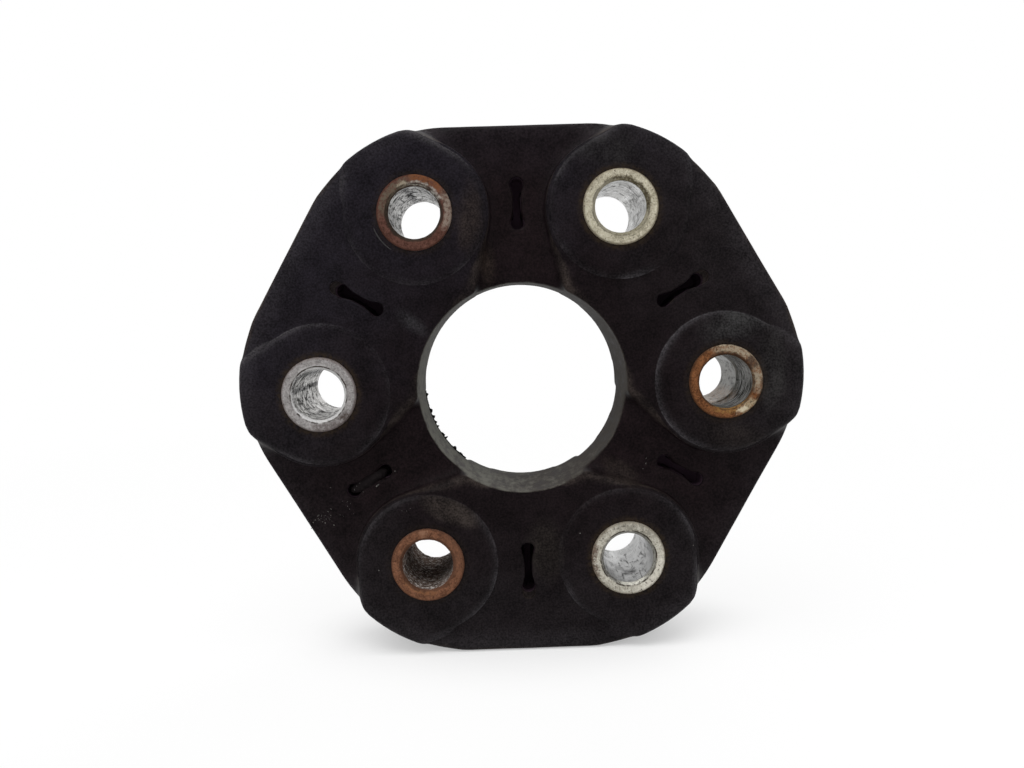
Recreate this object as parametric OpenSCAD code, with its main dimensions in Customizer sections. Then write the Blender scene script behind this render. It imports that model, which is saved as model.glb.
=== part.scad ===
// Driveshaft flex disc: a rubber coupling disc moulded round steel sleeves and wound cord loops.
// Neighbouring sleeves bolt in turn to the two shaft flanges, and the cord loops carry the pull between them.
// The disc stands on a flat: its axis lies along Y, the front face looks along -Y, and the origin is its centre.

/* [Bolt circle] */
// Diameter of the circle through the sleeve centres
bolt_circle_d = 105; // [100:0.5:112]

/* [Rubber body] */
// Rubber from the line between two neighbouring sleeves out to the flat of a deep sector
deep_margin = 22.6; // [20:0.1:25]
// Rubber from the line between two neighbouring sleeves out to the flat of a raised sector
raised_margin = 24.4; // [21:0.1:26]
// Radius of the outline round each corner
corner_r = 40.5; // [32:0.5:46]
// Diameter of the central hole
hole_d = 54.4; // [44:0.2:57]
// Step from a boss top down to a raised sector
boss_step = 1.2; // [0.6:0.1:1.8]
// Step from a raised sector down to a deep sector
deep_step = 4.2; // [2:0.1:5.5]
// Radius of the moulded edge along the outline
edge_round = 1.6; // [0.6:0.1:3]

/* [Bosses] */
// Diameter of a boss round its sleeve
boss_d = 36.4; // [35:0.2:39]
// Angle that each straight side of a boss closes in towards the corner
boss_taper = 30; // [24:1:36]
// Width of the crowned band along the rim of a boss
crown_w = 2.6; // [1:0.1:3.5]
// Fall of the crowned band from the boss top to the rim
crown_drop = 0.9; // [0.4:0.1:1]
// Width of the ledge that a raised sector leaves round a boss
ledge_w = 1; // [0.6:0.1:2]
// Angle between the edge of a raised sector and the middle line of the deep sector
link_flare = 13; // [8:1:18]

/* [Slots] */
// Reach of a slot inside the line between its two sleeves
slot_in = 4.4; // [3:0.1:6]
// Rubber between the outer end of a slot and the strand of cord beyond it
slot_wall = 0.7; // [0.4:0.1:2]
// Width of the round ends of a slot
slot_end_w = 3.4; // [2.6:0.1:4.4]
// Width of the straight waist of a slot
slot_waist_w = 1.8; // [1:0.1:2.4]
// Length over which each end of a slot narrows to the waist
slot_flare = 3; // [1.5:0.1:3.6]
// Reach of the shallow run-out past the outer end of a slot in a raised sector
slot_run = 1.6; // [0.8:0.1:2.4]
// Rubber between the floor of a run-out and the cord under it
slot_run_cover = 0.4; // [0.2:0.1:0.8]
// Rubber left between the floors of the front and rear slots
slot_web = 6; // [3:0.5:10]

/* [Sleeves] */
// Length of a sleeve
sleeve_len = 33; // [31:0.5:36]
// Outer diameter of a sleeve
sleeve_d = 19.3; // [18:0.1:20]
// Bore of a sleeve, for an M12 bolt
bore_d = 13; // [12.2:0.1:14]
// Chamfer at the mouth of the bore
mouth_chamfer = 0.8; // [0.4:0.1:1.4]
// Chamfer round the outside of the end face
rim_chamfer = 0.4; // [0.2:0.1:0.8]
// Height of the sleeve's end above the boss
sleeve_proud = 0.8; // [0.4:0.1:1.4]

/* [Collars] */
// Outer diameter of a collar
collar_d = 33; // [31:0.5:34]
// Thickness of a collar
collar_t = 1.5; // [1:0.1:2]
// Rubber over a collar, up to the boss top
collar_cover = 1.6; // [1.2:0.1:2]

/* [Cord loops] */
// Thickness of a winding, outwards from the sleeve
cord_t = 5.5; // [4:0.1:6]
// Width of a centre winding, along the sleeve
centre_cord_w = 10; // [8:0.5:12]
// Rubber between a centre winding and the one beside it
cord_gap = 0.8; // [0.4:0.1:1.5]

/* [Hidden] */
$fn = 96;
sleeves = 6;
pitch = 360 / sleeves;
bolt_r = bolt_circle_d / 2;
// From the disc's centre to the line between two neighbouring sleeves, and half of that line
chord_r = bolt_r * cos(pitch / 2);
half_chord = bolt_r * sin(pitch / 2);
deep_flat_r = chord_r + deep_margin;
raised_flat_r = chord_r + raised_margin;
// Heights above the middle plane
boss_z = sleeve_len / 2 - sleeve_proud;
raised_z = boss_z - boss_step;
deep_z = raised_z - deep_step;
collar_z = boss_z - collar_cover;
cord_top_z = collar_z - collar_t;
cord_low_z = centre_cord_w / 2 + cord_gap;
sleeve_r = sleeve_d / 2;
boss_r = boss_d / 2;
ledge_r = boss_r + ledge_w;
cord_r = sleeve_r + cord_t;
// Reach of a slot outside the line between its two sleeves
slot_out = sleeve_r - slot_wall;
// Centres of a slot's two round ends, along the middle line of its sector
slot_end_r = slot_end_w / 2;
slot_ends = [chord_r - slot_in + slot_end_r, chord_r + slot_out - slot_end_r];
// Share of the crowned band, in width and in fall, that its steeper outer part takes up
crown_knee = [1 / 3, 2 / 3];
// Straight sides stop this much short of the arcs that they run into
seam = 0.015;
// Reach of a cut past the solid that it cuts
past = 20;
// Sectors in turn, each between a sleeve and the next one
raised_sectors = [for (s = [0:sleeves - 1]) if (is_raised(s)) s];
deep_sectors = [for (s = [0:sleeves - 1]) if (!is_raised(s)) s];
loops = len(deep_sectors);
rubber_colour = "#241f20";
zinc_colour = "#a9a8a2";
rust_colour = "#8a5a3a";
steel_colour = "#8b8e92";
cord_colour = "#c9bfa4";

function polar(r, a) = r * [cos(a), sin(a)];
function sleeve_at(i) = polar(bolt_r, pitch * i);
function sector_angle(s) = pitch * (s + 0.5);
function is_raised(s) = s % 2 == 0;

// Turns the disc's own frame, with its axis along z, to the standing one
module upright() rotate([90, 0, 0]) children();

module at_sleeve(i) translate(sleeve_at(i)) children();

// A solid between two heights, from an outline
module slab(low, high) translate([0, 0, low]) linear_extrude(high - low) children();

module both_faces() {
    children();
    mirror([0, 0, 1]) children();
}

// Section of the disc's edge, from a line inside the disc to the moulded round at each face
function edge_section(from, r, z, round_r) =
    let (turn = [for (a = [0:30:90]) [r, z] - round_r * [1 - sin(a), 1 - cos(a)]], last = len(turn) - 1)
    concat(
        [[from, -z]],
        [for (k = [0:last]) [turn[k].x, -turn[k].y]],
        [for (k = [last:-1:0]) turn[k]],
        [[from, z]]
    );

// Hexagon with round corners and edges, up to a height on both faces. Its corners lean towards the raised
// sectors, whose flats lie further out. The round along a flat is a touch larger, so that its edges never
// meet those of a corner in one point
module hexagon(z) {
    middle = (raised_flat_r + deep_flat_r) / 2 - corner_r;
    lean = raised_flat_r - deep_flat_r;
    for (i = [0:sleeves - 1]) {
        towards = is_raised(i) ? 1 : -1;
        half_side = middle * tan(pitch / 2) - towards * lean * cos(pitch / 2);
        flat_r = is_raised(i) ? raised_flat_r : deep_flat_r;
        translate(polar(middle / cos(pitch / 2), pitch * i) + towards * polar(lean, pitch * i + 90))
            rotate_extrude() polygon(edge_section(0, corner_r, z, edge_round));
        rotate(sector_angle(i))
            translate([0, half_side, 0])
                rotate([90, 0, 0])
                    linear_extrude(2 * half_side)
                        polygon(edge_section(0, flat_r - seam, z, edge_round + 2 * seam));
    }
}

// Tear drop round a sleeve, its point towards the corner of the disc
module tear_drop(r) {
    touch = 90 - boss_taper;
    circle(r);
    polygon([
        [0, 0],
        polar(r - seam, -touch),
        [(r - seam) / cos(touch), 0],
        polar(r - seam, touch)
    ]);
}

// Deep sector: the ground between the ledges of its two sleeves, opening out to the central hole
module deep_ground(s) {
    inner = hole_d / 4;
    touch = [chord_r, half_chord] - (ledge_r - seam) * [sin(link_flare), cos(link_flare)];
    inner_half = touch.y + (touch.x - inner) * tan(link_flare);
    far = polar(raised_flat_r + past, pitch / 2);
    side = [[inner, inner_half], touch, [chord_r, half_chord], far];
    difference() {
        rotate(sector_angle(s))
            polygon(concat(side, [for (i = [len(side) - 1:-1:0]) [side[i].x, -side[i].y]]));
        for (i = [s, s + 1])
            at_sleeve(i) rotate(pitch * i) tear_drop(ledge_r);
    }
}

// Section of a boss from its axis to its crowned rim, from one face to the other
function boss_section(from, r) = [
    [from, -boss_z],
    [r - crown_w, -boss_z],
    [r - crown_w * crown_knee.x, -boss_z + crown_drop * (1 - crown_knee.y)],
    [r, -boss_z + crown_drop],
    [r, boss_z - crown_drop],
    [r - crown_w * crown_knee.x, boss_z - crown_drop * (1 - crown_knee.y)],
    [r - crown_w, boss_z],
    [from, boss_z]
];

// One straight side of a boss, reaching from its tangent point towards the corner
module boss_side(turn)
    mirror([0, turn < 0 ? 1 : 0, 0])
        rotate([90, 0, 90 - boss_taper])
            linear_extrude(2 * boss_d)
                polygon(boss_section(-boss_d, boss_r - seam));

module boss() {
    rotate_extrude() polygon(boss_section(0, boss_r));
    intersection() {
        boss_side(1);
        boss_side(-1);
    }
}

// Dog-bone slot along the middle line of a sector: a straight waist that opens out to two round ends
module slot_outline() {
    waist = slot_waist_w / 2;
    flare = min(slot_flare, 0.4 * (slot_ends[1] - slot_ends[0]));
    along = [slot_ends[0], slot_ends[0] + flare, slot_ends[1] - flare, slot_ends[1]];
    half = [slot_end_r - seam, waist, waist, slot_end_r - seam];
    last = len(along) - 1;
    for (u = slot_ends) translate([u, 0]) circle(slot_end_r);
    polygon(concat(
        [for (i = [0:last]) [along[i], half[i]]],
        [for (i = [last:-1:0]) [along[i], -half[i]]]
    ));
}

// Run-out of a slot in a raised sector, over the outer strand of its cord
module slot_run_out() {
    half = slot_end_r - seam;
    translate([slot_ends[1] + slot_run, 0]) circle(slot_end_r);
    translate([slot_ends[1], -half]) square([slot_run, 2 * half]);
}

// Track of a cord loop between two neighbouring sleeves, out to a radius round each
module loop_track(s, r) {
    across = polar(r - seam, sector_angle(s));
    a = sleeve_at(s);
    b = sleeve_at(s + 1);
    polygon([a + across, b + across, b - across, a - across]);
    for (i = [s, s + 1]) at_sleeve(i) circle(r);
}

module cord_loop(s, low, high)
    slab(low, high)
        difference() {
            loop_track(s, cord_r);
            loop_track(s, sleeve_r);
        }

module centre_loop(s) cord_loop(s, -centre_cord_w / 2, centre_cord_w / 2);

module front_loop(s) cord_loop(s, cord_low_z, cord_top_z);

module rear_loop(s) cord_loop(s, -cord_top_z, -cord_low_z);

// Space that a sleeve with its collars takes up in the rubber
module sleeve_seat(i) {
    slab(-sleeve_len / 2 - past, sleeve_len / 2 + past) at_sleeve(i) circle(sleeve_r);
    both_faces() slab(cord_top_z, collar_z) at_sleeve(i) circle(collar_d / 2);
}

module rubber_form() {
    hexagon(deep_z);
    intersection() {
        hexagon(raised_z);
        slab(-boss_z, boss_z)
            difference() {
                circle(2 * raised_flat_r);
                for (s = deep_sectors) deep_ground(s);
            }
    }
    intersection() {
        hexagon(boss_z);
        for (i = [0:sleeves - 1])
            at_sleeve(i) rotate(pitch * i) boss();
    }
}

module rubber_body()
    color(rubber_colour)
        difference() {
            rubber_form();
            slab(-boss_z - past, boss_z + past) circle(hole_d / 2);
            for (s = [0:sleeves - 1])
                both_faces() slab(slot_web / 2, boss_z + past) rotate(sector_angle(s)) slot_outline();
            for (s = raised_sectors)
                both_faces()
                    slab(cord_top_z + slot_run_cover, boss_z + past) rotate(sector_angle(s)) slot_run_out();
            for (i = [0:sleeves - 1]) sleeve_seat(i);
            for (s = deep_sectors) centre_loop(s);
            for (s = raised_sectors) {
                front_loop(s);
                rear_loop(s);
            }
        }

// Every second sleeve has lost its zinc and rusted
module sleeve(i) {
    end_z = sleeve_len / 2;
    half_section = [
        [bore_d / 2, 0],
        [bore_d / 2, end_z - mouth_chamfer],
        [bore_d / 2 + mouth_chamfer, end_z],
        [sleeve_r - rim_chamfer, end_z],
        [sleeve_r, end_z - rim_chamfer],
        [sleeve_r, 0]
    ];
    rear_section = [for (k = [len(half_section) - 2:-1:1]) [half_section[k].x, -half_section[k].y]];
    color(i % 2 == 0 ? rust_colour : zinc_colour)
        at_sleeve(i) rotate_extrude() polygon(concat(half_section, rear_section));
}

module collar(i, low)
    color(steel_colour)
        slab(low, low + collar_t)
            difference() {
                at_sleeve(i) circle(collar_d / 2);
                at_sleeve(i) circle(sleeve_r);
            }

upright() rubber_body();
for (i = [1:sleeves]) {
    upright() sleeve(i - 1);
    upright() collar(i - 1, cord_top_z);
    upright() collar(i - 1, -collar_z);
}
for (i = [1:loops]) {
    upright() color(cord_colour) centre_loop(deep_sectors[i - 1]);
    upright() color(cord_colour) front_loop(raised_sectors[i - 1]);
    upright() color(cord_colour) rear_loop(raised_sectors[i - 1]);
}
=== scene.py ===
import math
import random

import bpy
from mathutils import Matrix, Vector
from mathutils.bvhtree import BVHTree
from mathutils.kdtree import KDTree


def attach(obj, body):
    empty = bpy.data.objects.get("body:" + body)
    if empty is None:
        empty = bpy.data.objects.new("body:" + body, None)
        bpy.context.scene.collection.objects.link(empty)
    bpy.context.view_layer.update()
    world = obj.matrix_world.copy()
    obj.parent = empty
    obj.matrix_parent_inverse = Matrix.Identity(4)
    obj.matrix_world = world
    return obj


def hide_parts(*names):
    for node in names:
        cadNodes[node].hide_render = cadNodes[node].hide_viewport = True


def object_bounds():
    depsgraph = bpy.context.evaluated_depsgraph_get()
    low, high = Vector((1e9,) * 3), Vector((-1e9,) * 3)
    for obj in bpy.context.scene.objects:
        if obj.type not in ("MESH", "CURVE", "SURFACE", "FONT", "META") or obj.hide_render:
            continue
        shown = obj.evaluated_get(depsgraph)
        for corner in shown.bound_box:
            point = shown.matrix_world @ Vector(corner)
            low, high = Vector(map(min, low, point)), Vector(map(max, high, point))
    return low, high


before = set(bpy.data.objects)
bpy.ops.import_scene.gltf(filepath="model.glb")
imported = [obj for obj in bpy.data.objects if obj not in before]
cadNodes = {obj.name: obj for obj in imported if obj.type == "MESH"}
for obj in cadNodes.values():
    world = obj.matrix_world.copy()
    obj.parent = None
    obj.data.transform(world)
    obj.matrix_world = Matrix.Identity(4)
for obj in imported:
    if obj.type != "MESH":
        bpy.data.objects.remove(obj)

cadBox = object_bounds()
mm = 0.001
print("frame:", len(cadNodes), "nodes loaded")

# sizes of the moulding, repeated from the part's source, in millimetres
moulding = {
    "boltRadius": 52.5,
    "sleeveRadius": 9.65,
    "boreRadius": 6.5,
    "sleeveHalf": 16.5,
    "mouthChamfer": 0.8,
    "rimChamfer": 0.4,
    "holeRadius": 27.2,
    "flatRadius": 69.0,
    "cornerRadius": 73.6,
    "raisedTop": 14.5,
    "deepTop": 10.3,
    "slotIn": 41.1,
    "slotOut": 54.4,
    "slotEnd": 1.7,
    "slotWaist": 0.9,
}
sleeveTurns = {"right": 0, "upperRight": 60, "upperLeft": 120, "left": 180, "lowerLeft": 240, "lowerRight": 300}


def discPoint(radius, turn, depth):
    # a place on the disc from its radius, its angle round the axle and how far back it lies, in millimetres
    a = math.radians(turn)
    return Vector((radius * math.cos(a), depth, radius * math.sin(a))) * mm


def pick(piece):
    if bpy.context.object and bpy.context.object.mode != "OBJECT":
        bpy.ops.object.mode_set(mode="OBJECT")
    bpy.ops.object.select_all(action="DESELECT")
    piece.select_set(True)
    bpy.context.view_layer.objects.active = piece


def openPiece(piece, kind="FACE"):
    pick(piece)
    bpy.ops.object.mode_set(mode="EDIT")
    bpy.ops.mesh.select_mode(type=kind)


def closePiece():
    bpy.ops.object.mode_set(mode="OBJECT")


def named(name):
    # the piece that an add operator has just made
    piece = bpy.context.object
    piece.name = name
    piece.data.name = name
    return piece


def chooseFaces(piece, wanted):
    mesh = piece.data
    mesh.vertices.foreach_set("select", [False] * len(mesh.vertices))
    mesh.edges.foreach_set("select", [False] * len(mesh.edges))
    mesh.polygons.foreach_set("select", [bool(wanted(f)) for f in mesh.polygons])


def chooseVertices(piece, wanted):
    mesh = piece.data
    flags = [bool(wanted(v.co)) for v in mesh.vertices]
    mesh.polygons.foreach_set("select", [False] * len(mesh.polygons))
    mesh.edges.foreach_set("select", [flags[e.vertices[0]] and flags[e.vertices[1]] for e in mesh.edges])
    mesh.vertices.foreach_set("select", flags)


def shape(piece, kind, **settings):
    # adds a modifier, sets it and applies it
    pick(piece)
    step = piece.modifiers.new(kind.title(), kind)
    for key, value in settings.items():
        setattr(step, key, value)
    bpy.ops.object.modifier_apply(modifier=step.name)


def cloudTexture(name, size, depth=2):
    cloud = bpy.data.textures.new(name, "CLOUDS")
    cloud.noise_scale = size * mm
    cloud.noise_depth = depth
    return cloud


def joined(pieces, name):
    pick(pieces[0])
    for p in pieces[1:]:
        p.select_set(True)
    bpy.ops.object.join()
    return named(name)


def settle(piece):
    # the place goes into the mesh, and the object back to the origin
    pick(piece)
    bpy.ops.object.transform_apply(location=True, rotation=True, scale=True)


def placed(name, data):
    # an object for data that is ready, linked into the scene
    thing = bpy.data.objects.new(name, data)
    bpy.context.scene.collection.objects.link(thing)
    return thing


def lump(name, subdivisions, size=(1, 1, 1), **rough):
    # a ball one millimetre in radius, stretched to its half sizes and roughened
    bpy.ops.mesh.primitive_ico_sphere_add(subdivisions=subdivisions, radius=mm)
    piece = named(name)
    openPiece(piece, "VERT")
    bpy.ops.mesh.select_all(action="SELECT")
    bpy.ops.transform.resize(value=size)
    if rough:
        bpy.ops.transform.vertex_random(uniform=1, **rough)
    closePiece()
    return piece


def turnTo(piece, radius, turn, depth, extra=0):
    # puts a piece at a place on the disc, turned with it
    piece.rotation_euler = (0, math.radians(-turn - extra), 0)
    piece.location = discPoint(radius, turn, depth)
    settle(piece)


def ring(name, vertices, radius, depth):
    # a circle of edges round the disc's axle
    bpy.ops.mesh.primitive_circle_add(
        vertices=vertices, radius=radius * mm, location=(0, depth * mm, 0), rotation=(math.pi / 2, 0, 0)
    )
    piece = named(name)
    settle(piece)
    return piece


def roughen(piece, cloud, strength, middle):
    # pushes the surface out and in by a cloud
    shape(piece, "DISPLACE", texture=cloud, texture_coords="LOCAL", strength=strength * mm, mid_level=middle)


def moveVertices(piece, wanted, by):
    chooseVertices(piece, wanted)
    openPiece(piece, "VERT")
    bpy.ops.transform.translate(value=by)
    closePiece()


def table(columns, *rows):
    # one dictionary per row, under the columns' names; a short row leaves out the last of them
    names = columns.split()
    return [dict(zip(names, row)) for row in rows]


# the rubber moulding: the outer skin of the solid, softened, torn and sagged
rubberForm = {
    "mergeWithin": 0.001,
    "bondedWithin": 0.1,  # rubber this close to metal or cord is bonded to it and never seen
    "sleeveGrip": 0.96,  # the rubber runs on a little under each sleeve's rim
    "boreReach": 12,  # open edges this near an axle are those of its bore
    "tearRough": 0.16,
    "voxel": 0.34,
    "softenPasses": 5,
    "linkReach": 8.0,  # the sides of the raised links are rounder than the rest, from top to foot
    "linkPasses": 400,
    "linkClear": 19.0,  # but not within this radius of a sleeve
    "linkStep": 0.4,
    "levelWithin": 0.05,
    "slotClear": 4,  # edges this near the middle of a sector are those of its slot
    "tips": (71.0, 10.5),  # where each boss runs out at the edge: radius, and angle to either side
    "tipReach": 6.0,
    "tipFrom": (63, 9, 1.5),  # least radius, least depth, and how soon it takes full hold below that
    "tipPasses": 90,
    "sagSize": 16,
    "sagDepth": 0.16,
    "triangles": 185000,
}
# torn corners along the near rim of the hole: radius, angle, depth, half sizes, turn
rimTears = table(
    "at size turn seed",
    ((28.0, -8.6, -13.6), (1.2, 2.6, 0.9), -50, 3),
    ((27.3, -11.2, -12.4), (1.0, 2.0, 0.8), -30, 4),
    ((27.7, -50.8, -12.8), (1.2, 3.2, 1.7), -40, 5),
    ((27.2, -55.5, -14.0), (0.5, 1.2, 0.9), -60, 6),
    ((27.3, 185.0, -14.3), (0.4, 0.9, 1.3), 5, 7),
    ((27.2, -91.2, -0.7), (0.35, 0.4, 0.4), 0, 8),
)


def outerSkin():
    mesh = cadNodes["rubber_body"].data.copy()
    piece = placed("rubberDisc", mesh)
    openPiece(piece)
    bpy.ops.mesh.select_all(action="SELECT")
    bpy.ops.mesh.remove_doubles(threshold=rubberForm["mergeWithin"] * mm)
    closePiece()
    corners, sheets = [], []
    for name, node in cadNodes.items():
        if name != "rubber_body":
            first = len(corners)
            corners += [v.co.copy() for v in node.data.vertices]
            sheets += [[first + i for i in f.vertices] for f in node.data.polygons]
    inside = BVHTree.FromPolygons(corners, sheets)
    reach = rubberForm["bondedWithin"] * mm
    chooseFaces(piece, lambda f: inside.find_nearest(f.center, reach)[0] is not None)
    openPiece(piece)
    bpy.ops.mesh.delete(type="FACE")
    closePiece()
    for turn in sleeveTurns.values():  # a straight bore between the two open rings of each sleeve
        axle = discPoint(moulding["boltRadius"], turn, 0)
        openPiece(piece, "EDGE")
        bpy.ops.mesh.select_all(action="DESELECT")
        bpy.ops.mesh.select_non_manifold(extend=False)
        closePiece()
        for e in piece.data.edges:
            mid = (piece.data.vertices[e.vertices[0]].co + piece.data.vertices[e.vertices[1]].co) / 2
            if e.select and math.hypot(mid.x - axle.x, mid.z - axle.z) > rubberForm["boreReach"] * mm:
                e.select = False
        flags = [False] * len(piece.data.vertices)
        for e in piece.data.edges:
            if e.select:
                flags[e.vertices[0]] = flags[e.vertices[1]] = True
        piece.data.vertices.foreach_set("select", flags)
        openPiece(piece, "EDGE")
        grip = rubberForm["sleeveGrip"]
        bpy.ops.transform.resize(value=(grip, 1, grip), center_override=axle)
        bpy.ops.mesh.bridge_edge_loops()
        closePiece()
    openPiece(piece)
    bpy.ops.mesh.select_all(action="SELECT")
    bpy.ops.mesh.normals_make_consistent(inside=False)
    closePiece()
    return piece


def tornBite(tear):
    rough = rubberForm["tearRough"] * mm
    piece = lump("tornBite", 3, tear["size"], offset=rough, normal=0.5, seed=tear["seed"])
    turnTo(piece, *tear["at"], tear["turn"])
    return piece


def linkEdges(piece):
    # points along the top edges of the raised links, where they fall to the deep sectors
    mesh = piece.data
    level, within = moulding["raisedTop"], rubberForm["levelWithin"]
    sides = {}
    for f in mesh.polygons:
        for key in f.edge_keys:
            sides.setdefault(key, []).append(f)
    points = []
    for (a, b), faces in sides.items():
        p, q = mesh.vertices[a].co, mesh.vertices[b].co
        if len(faces) != 2 or min(abs(p.y), abs(q.y)) < (level - within) * mm:
            continue
        if max(abs(p.y), abs(q.y)) > (level + within) * mm:
            continue
        top, wall = sorted(faces, key=lambda f: -abs(f.normal.y))
        mid = (p + q) / 2
        turn = math.degrees(math.atan2(mid.z, mid.x)) % 120 - 30
        fromSlot = abs(math.hypot(mid.x, mid.z) * math.sin(math.radians(turn)))
        upright = abs(wall.normal.y) < 0.1 and (wall.center - mid).dot(top.normal) < 0
        if upright and fromSlot > rubberForm["slotClear"] * mm:
            steps = max(1, round((q - p).length / (rubberForm["linkStep"] * mm)))
            points += [p.lerp(q, k / steps) for k in range(steps + 1)]
    return [p for p in points if math.hypot(p.x, p.z) > (moulding["holeRadius"] + 0.2) * mm]


def linkWeight(points):
    tree = KDTree(len(points))
    for k, p in enumerate(points):
        tree.insert(p, k)
    tree.balance()
    reach, clear = rubberForm["linkReach"] * mm, rubberForm["linkClear"] * mm
    axles = [discPoint(moulding["boltRadius"], turn, 0) for turn in sleeveTurns.values()]
    low, high = (moulding["deepTop"] - 1) * mm, (moulding["raisedTop"] + 0.1) * mm

    def weight(p):
        fromHole = math.hypot(p.x, p.z) - (moulding["holeRadius"] - 0.3) * mm
        if not low < abs(p.y) < high or fromHole < 0:
            return 0.0
        away = tree.find(p)[2]
        if away > reach:
            return 0.0
        room = min(math.hypot(p.x - a.x, p.z - a.z) for a in axles) - clear
        return min(1.0, room / mm, fromHole / (1.5 * mm), 2.4 * (1 - away / reach))

    return weight


def tipWeight(p):
    leastRadius, leastDepth, full = rubberForm["tipFrom"]
    if math.hypot(p.x, p.z) < leastRadius * mm or abs(p.y) < leastDepth * mm:
        return 0.0
    radius, lean = rubberForm["tips"]
    tips = [discPoint(radius, turn + side * lean, 0) for turn in sleeveTurns.values() for side in (-1, 1)]
    away = min(math.hypot(p.x - t.x, p.z - t.z) for t in tips)
    return min(1.0, 2.0 * (1 - away / (rubberForm["tipReach"] * mm)), (abs(p.y) / mm - leastDepth) / full)


def soften(piece, weight, passes):
    # smooths only where the weight of a place is above zero
    group = piece.vertex_groups.new(name="softened")
    for v in piece.data.vertices:
        amount = weight(v.co)
        if amount > 0:
            group.add([v.index], amount, "REPLACE")
    shape(piece, "SMOOTH", factor=0.5, iterations=passes, vertex_group="softened")
    piece.vertex_groups.clear()


def makeRubber():
    piece = outerSkin()
    links = linkEdges(piece)
    print("rubber: skin of", len(piece.data.polygons), "faces,", len(links), "points along the links")
    bites = joined([tornBite(t) for t in rimTears], "tornBites")
    shape(piece, "BOOLEAN", operation="DIFFERENCE", object=bites, solver="FAST")
    bpy.data.objects.remove(bites)
    pick(piece)
    piece.data.remesh_voxel_size = rubberForm["voxel"] * mm
    piece.data.use_remesh_fix_poles = False
    bpy.ops.object.voxel_remesh()
    print("rubber: remeshed to", len(piece.data.polygons), "faces")
    shape(piece, "SMOOTH", factor=0.5, iterations=rubberForm["softenPasses"])
    soften(piece, linkWeight(links), rubberForm["linkPasses"])
    soften(piece, tipWeight, rubberForm["tipPasses"])
    roughen(piece, cloudTexture("rubberSag", rubberForm["sagSize"]), rubberForm["sagDepth"], 1.0)
    shape(piece, "TRIANGULATE")
    if len(piece.data.polygons) > rubberForm["triangles"]:
        shape(piece, "DECIMATE", ratio=rubberForm["triangles"] / len(piece.data.polygons))
    pick(piece)
    bpy.ops.object.shade_smooth()
    print("rubber: finished with", len(piece.data.polygons), "triangles")
    return piece


# one turned steel sleeve, modelled on the axle and copied out to the six places
sleeveForm = {
    "sides": 120,
    "boreCuts": 40,
    "faceCuts": 4,
    "edgeRound": 0.14,
    "rustSize": 1.1,
    "stepAt": -1.5,
}
sleeveWear = {
    "right": {"pit": 0.16, "step": 1.05, "slot": "rusted_sleeve"},
    "upperRight": {"pit": 0.05, "slot": "zinc_sleeve"},
    "upperLeft": {"pit": 0.14, "slot": "rusted_sleeve"},
    "left": {"pit": 0.05, "slot": "zinc_sleeve"},
    "lowerLeft": {"pit": 0.2, "slot": "rusted_sleeve"},
    "lowerRight": {"pit": 0.06, "slot": "zinc_sleeve"},
}


def ringStep(radiusFrom, radiusTo, along):
    # carries the picked ring on: along the axle by a length, and out or in to a new radius
    bpy.ops.mesh.extrude_region_move(TRANSFORM_OT_translate={"value": (0, along * mm, 0)})
    s = radiusTo / radiusFrom
    bpy.ops.transform.resize(value=(s, 1, s))


def makeSleeve():
    bore, rim, half = moulding["boreRadius"], moulding["sleeveRadius"], moulding["sleeveHalf"]
    mouth, edge = moulding["mouthChamfer"], moulding["rimChamfer"]
    piece = ring("sleeve", sleeveForm["sides"], bore, -(half - mouth))
    openPiece(piece, "EDGE")
    bpy.ops.mesh.select_all(action="SELECT")
    ringStep(bore, bore + mouth, -mouth)
    cuts = sleeveForm["faceCuts"]
    across = [bore + mouth + (rim - edge - bore - mouth) * k / cuts for k in range(cuts + 1)]
    for a, b in zip(across, across[1:]):
        ringStep(a, b, 0)
    ringStep(rim - edge, rim, edge)
    ringStep(rim, rim, 2 * (half - edge))
    ringStep(rim, rim - edge, edge)
    for a, b in zip(across[::-1], across[-2::-1]):
        ringStep(a, b, 0)
    ringStep(bore + mouth, bore, -mouth)
    bpy.ops.mesh.select_all(action="DESELECT")
    bpy.ops.mesh.select_non_manifold(extend=False)
    bpy.ops.mesh.bridge_edge_loops(number_cuts=sleeveForm["boreCuts"])
    bpy.ops.mesh.select_all(action="SELECT")
    bpy.ops.mesh.normals_make_consistent(inside=False)
    closePiece()
    return piece


def placeSleeve(master, where, number):
    wear = sleeveWear[where]
    pick(master)
    bpy.ops.object.duplicate()
    piece = named("sleeve" + where[0].upper() + where[1:])
    if "step" in wear:  # the near half of this bore is worn wider
        limit = (moulding["boreRadius"] + 0.05) * mm
        chooseVertices(piece, lambda p: math.hypot(p.x, p.z) < limit and p.y < sleeveForm["stepAt"] * mm)
        openPiece(piece, "VERT")
        bpy.ops.transform.resize(value=(wear["step"], 1, wear["step"]), center_override=(0, 0, 0))
        closePiece()
    width = sleeveForm["edgeRound"] * mm
    shape(piece, "BEVEL", width=width, segments=2, limit_method="ANGLE", angle_limit=math.radians(30))
    piece.location = discPoint(moulding["boltRadius"], sleeveTurns[where], 0)
    settle(piece)
    roughen(piece, cloudTexture("pitting" + str(number), sleeveForm["rustSize"], 3), wear["pit"], 1.0)
    pick(piece)
    bpy.ops.object.shade_smooth_by_angle(angle=math.radians(35))
    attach(piece, "root")
    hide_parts("sleeve_" + str(number))
    return piece


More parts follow.
